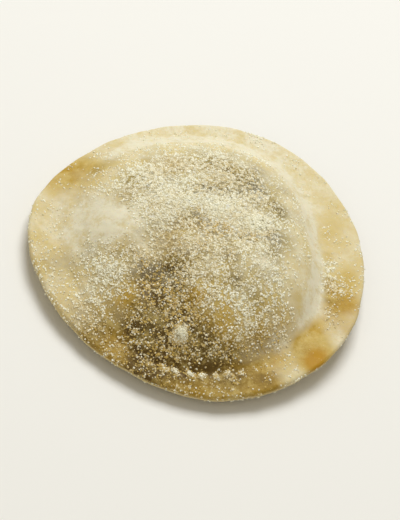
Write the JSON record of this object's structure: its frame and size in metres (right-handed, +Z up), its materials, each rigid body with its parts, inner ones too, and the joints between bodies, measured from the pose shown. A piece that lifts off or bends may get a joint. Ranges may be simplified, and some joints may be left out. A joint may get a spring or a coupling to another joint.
{
  "type": "ravioli",
  "caption": "Round raviolo of pale egg dough, domed over its filling, with a flat pressed rim and a dusting of semolina flour.",
  "frame": {"origin": "on the table, under the middle of the cut outline's box", "axes": "+Z up out of the dome; -Y is the side nearest the picture's camera, and +X is to its right"},
  "size_m": [0.0656, 0.0658, 0.0158],
  "materials": {
    "egg_dough": "matte egg dough, dusted with semolina flour"
  },
  "bodies": {
    "root": {"ravioli": "egg_dough"}
  },
  "joints": []
}
